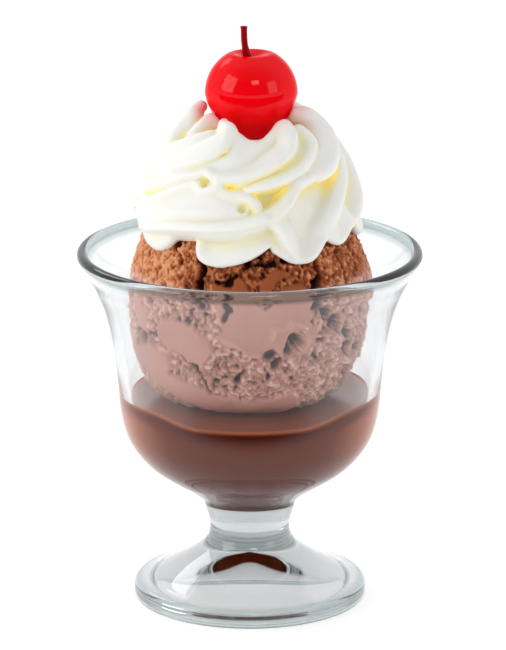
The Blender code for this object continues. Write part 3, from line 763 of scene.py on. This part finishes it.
# Broad faces that fill the room between folds: thickness, then the line of the surface
CREAM_FACE_BLEND = 2.2
CREAM_FACES = (
    (2.6, ((-48, 124.6, 19.8), (-64, 122.4, 21.8), (-82, 120.0, 23.2), (-104, 116.4, 24.8))),
    (2.0, ((-38, 126.6, 18.2), (-46, 125.0, 20.2), (-60, 122.8, 22.0), (-76, 120.2, 23.4))),
    (2.2, ((-26, 127.6, 15.8), (-14, 126.1, 17.4), (-5, 124.4, 18.5))),
    (2.4, ((-12, 125.4, 19.0), (-12, 123.6, 21.0), (-14, 122.0, 22.4), (-22, 120.6, 23.2),
     (-36, 119.0, 24.0), (-52, 117.8, 24.8))),
    (2.4, ((4, 124.0, 18.6), (1, 122.6, 20.4), (-5, 121.2, 21.9), (-14, 119.8, 23.0),
     (-26, 119.0, 23.6))),
    (2.0, ((34, 128.2, 15.8), (20, 125.8, 17.2), (10, 124.0, 18.6))),
    (2.2, ((39, 126.6, 18.4), (35, 124.2, 20.5), (26, 121.9, 22.0), (15, 120.2, 23.0),
     (4, 118.4, 24.0), (-6, 117.0, 24.8))),
    (2.6, ((-36, 116.6, 25.0), (-48, 115.4, 26.0), (-62, 114.0, 26.8), (-80, 111.8, 27.6),
     (-100, 109.0, 28.0))),
    (3.0, ((-14, 112.4, 27.4), (-30, 112.6, 27.6), (-46, 110.8, 28.2), (-62, 108.0, 28.8),
     (-80, 105.6, 28.8))),
    (3.0, ((-6, 109.6, 28.9), (-26, 109.2, 29.6), (-42, 108.0, 29.9), (-58, 106.2, 30.0),
     (-76, 104.0, 29.8))),
    (3.0, ((86, 118.0, 24.6), (76, 115.0, 26.0), (64, 111.5, 27.2), (52, 107.5, 28.4),
     (44, 104.0, 28.6))),
)
# Deep valleys: their own radius, then the line (azimuth in degrees, height, radius)
CREAM_VALLEY_BLEND = 1.6
CREAM_VALLEYS = (
    (0.9, ((-62, 100.9, 31.2), (-50, 102.4, 31.5), (-38, 103.4, 31.6), (-24, 104.0, 31.7),
     (-12, 104.6, 31.4), (0, 105.6, 31.0), (9, 107.0, 30.4))),
    (1.6, ((64, 115.6, 27.6), (54, 112.4, 28.8), (44, 108.8, 30.0), (36, 106.6, 30.4))),
    (1.6, ((29, 105.4, 31.2), (31, 102.6, 31.2), (32, 100.2, 30.8))),
    (1.5, ((11, 111.2, 30.2), (18, 113.9, 29.2), (25, 116.8, 27.5))),
    (1.2, ((-15, 115.2, 28.3), (-9, 115.2, 28.2), (-2, 116.3, 27.8))),
)
# Curls end in small holes: azimuth, height, radius at the mouth, radius of the hole
CREAM_HOLES = ((-26, 117.6, 27.4, 1.15), (-4, 111.9, 29.4, 1.15), (35, 115.8, 28.2, 0.9))
CREAM_HOLE_DEPTHS = (0.0, 0.7, 1.4, 2.2)
# A fold is laid as ropes at these shares of the way from its lip to its root
FOLD_SHARES = (1.0, 0.7, 0.42, 0.2, 0.0)
# The grid on which the cream is worked out, and how far outside the cream counts as empty
CREAM_REACH = 33.5
CREAM_LOW = 93.0
CREAM_HIGH = 138.0
CREAM_FLOOR = 103.0
FAR = 9.0
# How deep the cream reaches into the cherry and the scoop, so that no gap shows
INTO_CHERRY = 0.15
INTO_SCOOP = 0.6
# How far from the surface the room is probed to find cavities
CAVITY_PROBES = (1.4, 2.8, 4.4)
BLUSH_REACH = 6.0


def fold_line(points, steps, lip, inward, up):
    """Return a smooth line through a fold's points, moved in by the lip and towards the root."""
    turns = np.degrees(np.unwrap(np.radians([p[0] for p in points])))
    line = np.array(smooth_line([(t, p[1], p[2]) for t, p in zip(turns, points)], steps))
    grow = 0.3 + 0.7 * smoothstep(0.0, 0.35, np.linspace(0.0, 1.0, len(line)))
    a = np.radians(line[:, 0])
    r = line[:, 2] - lip - inward * grow
    return np.stack((r * np.sin(a), -r * np.cos(a), line[:, 1] + up * grow), axis=1)


def near(axes, low, high):
    """Return the part of the grid between two corners, as one slice for each axis."""
    return tuple(slice(max(0, int(np.searchsorted(values, a)) - 1),
                       int(np.searchsorted(values, b)))
                 for values, a, b in zip(axes, low, high))


def add_rope(field, axes, path, radii, blend):
    """Blend a rope of changing thickness into the field."""
    margin = radii.max() + blend + 0.6
    span = near(axes, path.min(0) - margin, path.max(0) + margin)
    local = [values[s] for values, s in zip(axes, span)]
    rope = np.full([len(values) for values in local], FAR)
    for a, b, ra, rb in zip(path, path[1:], radii, radii[1:]):
        part = near(local, np.minimum(a, b) - margin, np.maximum(a, b) + margin)
        x, y, z = np.ix_(*(values[s] for values, s in zip(local, part)))
        gap, t = span_gap(x, y, z, a, b)
        rope[part] = np.minimum(rope[part], gap - (ra + (rb - ra) * t))
    old = field[span]
    mix = np.clip(0.5 + 0.5 * (old - rope) / blend, 0.0, 1.0)
    field[span] = old * (1 - mix) + rope * mix - blend * mix * (1 - mix)


def cut_valley(field, axes, size, points):
    """Carve a rounded valley along a line."""
    path = fold_line(points, 5, 0.0, 0.0, 0.0)
    blend = CREAM_VALLEY_BLEND
    span = near(axes, path.min(0) - size - blend, path.max(0) + size + blend)
    x, y, z = np.ix_(*(values[s] for values, s in zip(axes, span)))
    gap = np.full([s.stop - s.start for s in span], FAR)
    for a, b in zip(path, path[1:]):
        gap = np.minimum(gap, span_gap(x, y, z, a, b)[0])
    old, cut = field[span], size - gap
    mix = np.clip(0.5 + 0.5 * (cut - old) / blend, 0.0, 1.0)
    field[span] = old * (1 - mix) + cut * mix + blend * mix * (1 - mix)


def add_fold(field, axes, fold):
    """Blend a fold into the field, as ropes that grow from its lip back to its root."""
    lip, (inward, up), root, points = fold
    for share in FOLD_SHARES:
        path = fold_line(points, 7, lip, share * inward, share * up)
        along = np.linspace(0.0, 1.0, len(path))
        ends = 0.38 + 0.62 * np.sqrt(np.sin(np.pi * np.clip(along, 0.03, 0.97)))
        add_rope(field, axes, path, (lip + share * (root - lip)) * ends, CREAM_BLEND)


def surface_nets(field, axes):
    """Return the vertices and quads of the field's zero surface."""
    shape = tuple(n - 1 for n in field.shape)
    total = np.zeros((*shape, 3), dtype=np.float32)
    count = np.zeros(shape, dtype=np.float32)

    def corner(offset):
        return field[tuple(slice(o, o + n) for o, n in zip(offset, shape))]

    for axis in range(3):
        others = [k for k in range(3) if k != axis]
        for i in (0, 1):
            for j in (0, 1):
                offset = [0, 0, 0]
                offset[others[0]], offset[others[1]] = i, j
                far = list(offset)
                far[axis] = 1
                near_value, far_value = corner(offset), corner(far)
                crossed = (near_value < 0) != (far_value < 0)
                gap = np.where(crossed, near_value - far_value, 1.0)
                share = np.where(crossed, near_value / gap, 0.0)
                count += crossed
                total[..., axis] += share
                total[..., others[0]] += i * crossed
                total[..., others[1]] += j * crossed
    used = count > 0
    index = np.full(shape, -1, dtype=np.int64)
    index[used] = np.arange(used.sum())
    cells = np.argwhere(used)
    step = axes[0][1] - axes[0][0]
    origin = np.array([values[0] for values in axes])
    verts = origin + (cells + total[used] / count[used][:, None]) * step
    quads = []
    inside = field < 0
    for axis in range(3):
        u, v = [(1, 2), (2, 0), (0, 1)][axis]
        start = [slice(1, -1)] * 3
        start[axis] = slice(0, -1)
        stop = list(start)
        stop[axis] = slice(1, None)
        here, there = inside[tuple(start)], inside[tuple(stop)]
        for flip in (False, True):
            edges = np.argwhere(here & ~there if not flip else there & ~here)
            edges += np.array([0 if k == axis else 1 for k in range(3)])
            corners = []
            for du, dv in ((1, 1), (0, 1), (0, 0), (1, 0)):
                cell = edges.copy()
                cell[:, u] -= du
                cell[:, v] -= dv
                corners.append(index[cell[:, 0], cell[:, 1], cell[:, 2]])
            quad = np.stack(corners, 1)
            quads.append(quad[:, ::-1] if flip else quad)
    quads = np.concatenate(quads)
    return verts, quads[:, ::-1]


def sample_grid(field, axes, points):
    """Read the field between its grid points."""
    step = axes[0][1] - axes[0][0]
    origin = np.array([values[0] for values in axes])
    scaled = (points - origin) / step
    base = np.clip(np.floor(scaled).astype(int), 0, np.array(field.shape) - 2)
    t = np.clip(scaled - base, 0.0, 1.0)
    total = np.zeros(len(points))
    for corner, weight in cell_corners(t):
        total += weight * field[tuple((base + corner).T)]
    return total


def cut_hole(field, grid, hole):
    """Bore a small hole that runs inward and slightly down from its mouth."""
    azimuth, height, radius, size = hole
    a = math.radians(azimuth)
    mouth = np.array([radius * math.sin(a), -radius * math.cos(a), height])
    for depth in CREAM_HOLE_DEPTHS:
        inward = 1 - depth / radius
        deep = mouth * np.array([inward, inward, 1]) - (0, 0, 0.2 * depth)
        np.maximum(field, size - sphere_gap(*grid, deep), out=field)


def cream_field(axes):
    """Return the cream's signed distance, negative inside, on a grid."""
    x, y, z = np.ix_(*axes)
    across = np.hypot(x, y) + 0 * z
    heights, radii = zip(*CREAM_CORE)
    field = 0.8 * (across - np.interp(z, heights, radii))
    field = np.maximum(field, CREAM_FLOOR - z)
    field = np.maximum(field, z - heights[-1])
    for thickness, points in CREAM_FACES:
        path = fold_line(points, 6, thickness, 0.0, 0.0)
        add_rope(field, axes, path, np.full(len(path), thickness), CREAM_FACE_BLEND)
    for fold in CREAM_FOLDS:
        add_fold(field, axes, fold)
    for size, points in CREAM_VALLEYS:
        cut_valley(field, axes, size, points)
    for hole in CREAM_HOLES:
        cut_hole(field, (x, y, z), hole)
    field = np.maximum(field, CHERRY_RADIUS - INTO_CHERRY - sphere_gap(x, y, z, CHERRY_CENTRE))
    azimuth = np.arctan2(x, -y) + 0 * z
    reach = np.sqrt(across ** 2 + (z - SCOOP_CENTRE) ** 2)
    polar = np.arctan2(across, z - SCOOP_CENTRE)
    return np.maximum(field, scoop_base(azimuth, polar) - INTO_SCOOP - reach)


def make_cream():
    """Build the swirl, and mark its cavities for painted light and how near it lies to the cherry.
    """
    step = 0.45
    axes = [np.arange(-CREAM_REACH, CREAM_REACH, step), np.arange(-CREAM_REACH, CREAM_REACH, step),
            np.arange(CREAM_LOW, CREAM_HIGH, step)]
    field = cream_field(axes)
    verts, quads = surface_nets(field, axes)
    slope = np.stack([sample_grid(field, axes, verts + d) - sample_grid(field, axes, verts - d)
                      for d in np.eye(3) * 0.5], axis=1)
    slope /= np.maximum(1e-6, np.linalg.norm(slope, axis=1))[:, None]
    # How shut in each point is; this drives the painted light in the cavities
    shut = np.zeros(len(verts))
    for probe in CAVITY_PROBES:
        room = sample_grid(field, axes, verts + slope * probe)
        shut += np.clip(1.0 - room / probe, 0.0, 1.0) / len(CAVITY_PROBES)
    from_cherry = np.linalg.norm(verts - CHERRY_CENTRE, axis=1) - CHERRY_RADIUS
    verts = verts + slope * (0.1 * layered_noise(verts, 4.0, 5, 3))[:, None]
    piece = to_mesh("cream_swirl", verts, quads, cream_material())
    add_attribute(piece, "cavity_painted_light", shut)
    add_attribute(piece, "blush", 1.0 - smoothstep(0.0, BLUSH_REACH, from_cherry))
    return piece


# ---------------------------------------------------------------- cherry and stem
def make_cherry():
    """Round with a dimple at the top, fuller in the upper half and narrower towards the tip."""
    profile = []
    for i in range(CHERRY_RINGS + 1):
        polar = math.pi * i / CHERRY_RINGS
        r = CHERRY_RADIUS * math.sin(polar)
        z = CHERRY_RADIUS * math.cos(polar)
        if polar < math.pi / 2:
            z -= CHERRY_DIMPLE_DEPTH * (1 - float(smoothstep(0.0, CHERRY_DIMPLE_RADIUS, r)))
        else:
            r *= 1.0 - CHERRY_TAPER * math.sin(polar) * math.sin(2 * polar - math.pi)
        profile.append((r, z + CHERRY_CENTRE[2]))
    piece = turned("cherry_glazed", profile, CHERRY_SEGMENTS, cherry_material())
    piece.location.x = CHERRY_CENTRE[0] * MM
    return piece


def make_stem():
    """Run a bent stem up from the dimple, thicker at its foot and at its cut end."""
    bend = STEM_BASE + (STEM_END - STEM_BASE) * 0.45 + STEM_BEND
    line = np.array(smooth_line((STEM_BASE, bend, STEM_END), 12))
    share = np.linspace(0, 1, len(line))
    swell = 0.45 * (1 - smoothstep(0.0, 0.5, share)) + 0.12 * smoothstep(0.9, 1, share)
    radius = STEM_RADIUS * (1 + swell)
    angles = 2 * np.pi * np.arange(STEM_SEGMENTS) / STEM_SEGMENTS
    rings = [np.stack((c[0] + r * np.sin(angles), c[1] - r * np.cos(angles),
                       np.full(STEM_SEGMENTS, c[2])), 1) for c, r in zip(line, radius)]
    verts, faces = surface_of(rings, line[0], line[-1] + np.array([0, 0, 0.1]))
    return to_mesh("stem_short", verts, faces, stem_material())


# ---------------------------------------------------------------- stage, light and camera
def floor_material():
    """Pale floor whose front part looks dark in mirror reflections, to draw the glass's edges."""
    material, shader = principled("pale_floor")
    set_inputs(shader, {
        "Base Color": (0.9, 0.9, 0.9, 1.0), "Roughness": 0.9, "Emission Color": (1, 1, 1, 1),
        "Emission Strength": 0.35,
    })
    tree = material.node_tree
    card = add_node(tree, "BsdfDiffuse")
    card.inputs["Color"].default_value = (0.05, 0.05, 0.05, 1.0)
    coords = add_node(tree, "TexCoord")
    split = add_node(tree, "SeparateXYZ")
    tree.links.new(coords.outputs["Object"], split.inputs[0])
    reach = add_node(tree, "MapRange")
    reach.interpolation_type = "SMOOTHSTEP"
    set_inputs(reach, {"From Min": -0.07, "From Max": -0.14})
    tree.links.new(split.outputs["Y"], reach.inputs["Value"])
    path = add_node(tree, "LightPath")
    mirrored = multiply(tree, path.outputs["Is Glossy Ray"], path.outputs["Is Reflection Ray"])
    share = multiply(tree, reach.outputs["Result"], mirrored)
    surface = mix_shaders(tree, share, shader.outputs["BSDF"], card.outputs["BSDF"])
    tree.links.new(surface, tree.nodes["Material Output"].inputs["Surface"])
    return material


def wall_material():
    """A wall that only glows."""
    material, shader = principled("pale_wall")
    set_inputs(shader, {
        "Base Color": (0.0, 0.0, 0.0, 1.0), "Specular IOR Level": 0.0,
        "Emission Color": (1, 1, 1, 1), "Emission Strength": 1.05,
    })
    return material


def make_stage():
    """Add a round floor and the low wall around it."""
    bpy.ops.mesh.primitive_circle_add(vertices=96, radius=STAGE_RADIUS, fill_type="NGON")
    floor = bpy.context.object
    floor.name = "floor"
    floor.data.materials.append(floor_material())
    bpy.ops.mesh.primitive_cylinder_add(vertices=96, radius=STAGE_RADIUS, depth=WALL_HEIGHT,
                                        end_fill_type="NOTHING",
                                        location=(0, 0, WALL_HEIGHT / 2))
    wall = bpy.context.object
    wall.name = "low_wall"
    wall.data.materials.append(wall_material())


def add_area(name, location, size, power):
    """Add a rectangular soft light that faces the sundae."""
    data = bpy.data.lights.new(name, "AREA")
    data.shape = "RECTANGLE"
    data.size, data.size_y = size
    data.energy = power
    light = bpy.data.objects.new(name, data)
    bpy.context.scene.collection.objects.link(light)
    light.location = location
    aim = Vector(LIGHT_AIM) - Vector(location)
    light.rotation_euler = aim.to_track_quat("-Z", "Y").to_euler()


def make_world():
    """A studio that is near white behind and beside the glass and dark behind the camera."""
    world = bpy.data.worlds.new("studio")
    bpy.context.scene.world = world
    world.use_nodes = True
    tree = world.node_tree
    back = tree.nodes["Background"]
    coords = add_node(tree, "TexCoord")
    parts = add_node(tree, "SeparateXYZ")
    ramp = add_node(tree, "ValToRGB")
    ramp.color_ramp.elements[0].position = 0.1
    ramp.color_ramp.elements[0].color = (0.12, 0.12, 0.125, 1.0)
    ramp.color_ramp.elements[1].position = 0.6
    ramp.color_ramp.elements[1].color = (0.95, 0.95, 0.97, 1.0)
    ramp.color_ramp.elements.new(0.4).color = (0.5, 0.5, 0.52, 1.0)
    toward = add_node(tree, "Math")
    toward.operation = "MULTIPLY_ADD"
    toward.inputs[1].default_value = 0.5
    toward.inputs[2].default_value = 0.5
    tree.links.new(coords.outputs["Generated"], parts.inputs[0])
    tree.links.new(parts.outputs["Y"], toward.inputs[0])
    tree.links.new(toward.outputs[0], ramp.inputs["Fac"])
    tree.links.new(ramp.outputs["Color"], back.inputs["Color"])


def make_lights():
    """Light the sundae from the left, the right, behind and in front."""
    add_area("key", (-1.05, -0.5, 0.7), (0.8, 0.8), 6.3)
    add_area("right", (1.1, -0.7, 0.6), (0.6, 0.6), 2.4)
    add_area("back", (-0.72, 0.78, 0.9), (0.45, 0.45), 2.2)
    add_area("front", (0.25, -1.2, 1.1), (0.5, 0.3), 2.5)


def make_camera():
    """Look at the sundae from the front, a little from above."""
    data = bpy.data.cameras.new("camera")
    data.sensor_width = CAMERA_SENSOR_MM
    data.lens = CAMERA_LENS_MM
    data.clip_start, data.clip_end = 0.05, 30.0
    camera = bpy.data.objects.new("camera", data)
    bpy.context.scene.collection.objects.link(camera)
    away = Vector((0.0, -math.cos(CAMERA_TILT), math.sin(CAMERA_TILT)))
    camera.location = Vector(CAMERA_AIM) + away * CAMERA_DISTANCE
    camera.rotation_euler = (math.pi / 2 - CAMERA_TILT, 0.0, 0.0)
    bpy.context.scene.camera = camera


def place(piece, node):
    """Attach a piece to the root body and hide the CAD node that it replaces."""
    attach(piece, "root")
    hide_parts(node)


make_camera()
make_stage()
make_world()
make_lights()
place(make_glass(), "glass")
place(make_fudge(), "fudge")
place(make_scoop(), "ice_cream")
place(make_cream(), "whipped_cream")
place(make_cherry(), "cherry")
place(make_stem(), "cherry_stem")
bpy.context.scene.view_settings.view_transform = "Standard"
